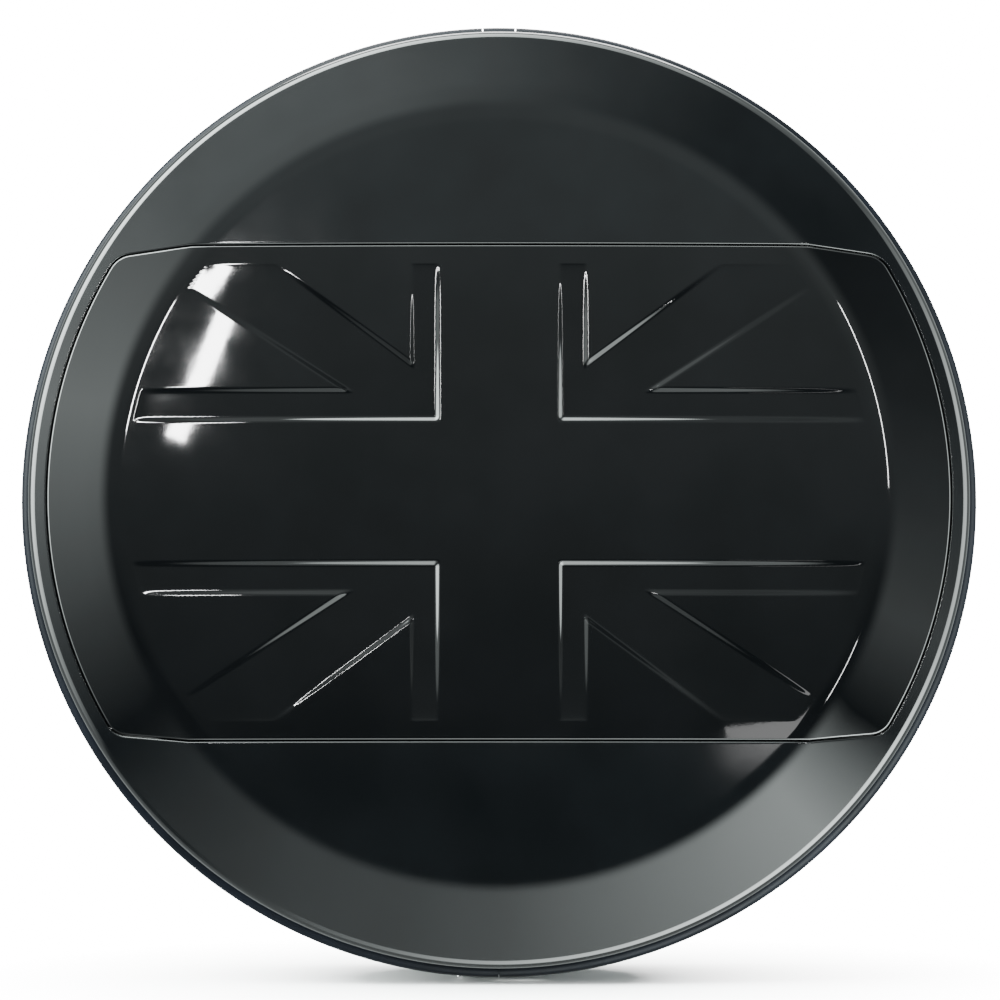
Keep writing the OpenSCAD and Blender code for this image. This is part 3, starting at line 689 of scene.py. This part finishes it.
# The two lists below are tuned to the brightness of the reference at these angles, so
# the light is not a plain studio.
# Brightness of the room round the mirrored line of sight, by angle from the right, going
# up: what a bevel that turns away by its slope mirrors on each side
room_ring = [
    0.50, 0.26, 0.14, 0.12, 0.17, 0.46, 0.95, 1.50, 1.60, 1.65, 2.45, 3.40,
    2.10, 0.85, 0.04, 0.60, 1.00, 1.20, 1.70, 3.00, 4.60, 6.80, 0.06, 1.00,
]
# Brightness of what the rolled rim mirrors behind that, by the same angle
rim_ring = [
    12.0, 11.0, 4.0, 0.8, 1.8, 6.0, 16.0, 28.0, 36.0, 40.0, 36.0, 32.0,
    20.0, 6.0, 0.2, 0.3, 1.2, 4.0, 10.0, 17.0, 24.0, 28.0, 24.0, 12.0,
]
# Where each part of the light starts and is full, in degrees from the mirrored sight
room_from, room_full = 22, 36
rim_from, rim_full = 51, 57
behind_from, behind_full = 84, 100
behind_level = 1.0
backdrop_level = 18.0


def maths(nodes, links, kind, first, second=None):
    node = nodes.new("ShaderNodeMath")
    node.operation = kind
    for socket, value in zip(node.inputs, (first, second)):
        if isinstance(value, (int, float)):
            socket.default_value = value
        elif value is not None:
            links.new(value, socket)
    return node.outputs["Value"]


def along(nodes, links, vector, unit):
    node = nodes.new("ShaderNodeVectorMath")
    node.operation = "DOT_PRODUCT"
    node.inputs[1].default_value = unit
    links.new(vector, node.inputs[0])
    return node.outputs["Value"]


def wheel(nodes, links, turn, values):
    """A brightness that follows these values round the wheel, from the right going up."""
    node = nodes.new("ShaderNodeValToRGB")
    stops = node.color_ramp.elements
    count = len(values)
    while len(stops) < count + 1:
        stops.new(len(stops) / (count + 1))
    top = max(values)
    for i in range(count + 1):
        level = values[i % count] / top
        stops[i].position = i / count
        stops[i].color = (level, level, level, 1)
    links.new(turn, node.inputs["Fac"])
    return maths(nodes, links, "MULTIPLY", node.outputs["Color"], top)


def window(nodes, links, value, start, end):
    """Rises smoothly from 0 at the start to 1 at the end, both in degrees."""
    node = nodes.new("ShaderNodeMapRange")
    node.interpolation_type = "SMOOTHSTEP"
    node.inputs["From Min"].default_value = math.radians(start)
    node.inputs["From Max"].default_value = math.radians(end)
    links.new(value, node.inputs["Value"])
    return node.outputs["Result"]


def blend(nodes, links, amount, first, second):
    node = nodes.new("ShaderNodeMix")
    links.new(amount, node.inputs["Factor"])
    for name, value in (("A", first), ("B", second)):
        if isinstance(value, float):
            node.inputs[name].default_value = value
        else:
            links.new(value, node.inputs[name])
    return node.outputs["Result"]


def surroundings():
    """Room as a wheel of light round the mirrored line of sight: dark behind the camera,
    brighter to the sides, and grey behind the cover."""
    world = bpy.data.worlds.new("studio")
    bpy.context.scene.world = world
    world.use_nodes = True
    nodes, links = world.node_tree.nodes, world.node_tree.links
    background = nodes["Background"]
    direction = nodes.new("ShaderNodeTexCoord").outputs["Generated"]
    side = along(nodes, links, direction, mirror_right)
    rise = along(nodes, links, direction, mirror_up)
    tilt = maths(nodes, links, "ARCCOSINE", along(nodes, links, direction, mirror_ahead))
    turn = maths(nodes, links, "ARCTAN2", rise, side)
    turn = maths(nodes, links, "DIVIDE", turn, 2 * math.pi)
    turn = maths(nodes, links, "FRACT", maths(nodes, links, "ADD", turn, 1.0))
    # room straight behind the camera, dark at the bottom
    middle = span(nodes, links, rise, 0.06, 0.70, -0.14, 0.22)
    level = blend(
        nodes, links, window(nodes, links, tilt, room_from, room_full), middle,
        wheel(nodes, links, turn, room_ring),
    )
    level = blend(
        nodes, links, window(nodes, links, tilt, rim_from, rim_full), level,
        wheel(nodes, links, turn, rim_ring),
    )
    level = blend(
        nodes, links, window(nodes, links, tilt, behind_from, behind_full), level, behind_level
    )
    links.new(level, background.inputs["Strength"])
    background.inputs["Color"].default_value = (0.92, 1.0, 0.98, 1)
    # the camera itself sees plain white paper, which the cover doesn't mirror
    path = nodes.new("ShaderNodeLightPath")
    white = nodes.new("ShaderNodeBackground")
    white.inputs["Color"].default_value = (1, 1, 1, 1)
    white.inputs["Strength"].default_value = backdrop_level
    mix = nodes.new("ShaderNodeMixShader")
    links.new(path.outputs["Is Camera Ray"], mix.inputs["Fac"])
    links.new(background.outputs["Background"], mix.inputs[1])
    links.new(white.outputs["Background"], mix.inputs[2])
    links.new(mix.outputs["Shader"], nodes["World Output"].inputs["Surface"])


surroundings()


def softbox(name, turn, tilt, away, width, height, power, roll=0.0):
    """A lamp that the face mirrors: turn from the right going up and tilt from the mirrored
    line of sight, and its own roll, all in degrees."""
    data = bpy.data.lights.new(name, "AREA")
    data.shape = "RECTANGLE"
    data.size, data.size_y = width, height
    data.energy = power
    obj = bpy.data.objects.new(name, data)
    bpy.context.scene.collection.objects.link(obj)
    turn, tilt = math.radians(turn), math.radians(tilt)
    outward = mirror_right * math.cos(turn) + mirror_up * math.sin(turn)
    place = (mirror_ahead * math.cos(tilt) + outward * math.sin(tilt)) * away
    obj.location = place
    facing = (-place).to_track_quat("-Z", "Y")
    obj.rotation_euler = (facing @ Quaternion((0, 0, 1), math.radians(roll))).to_euler()


# two tall windows at the upper left, strips at the right, and a lamp above and behind
softbox("window_left", 156, 11.6, 5.0, 0.06, 0.52, 16, -21)
softbox("window_left_far", 160, 14.2, 5.0, 0.045, 0.46, 12, -21)
softbox("strip_right", 16, 26, 5.0, 0.05, 1.1, 16, 10)
softbox("strip_right_low", 333, 24, 5.0, 0.04, 0.35, 3, -24)
softbox("strip_floor", 318, 13.5, 5.0, 0.30, 0.12, 0.5, 8)
softbox("top_back", 90, 118, 3.0, 2.0, 1.2, 90)
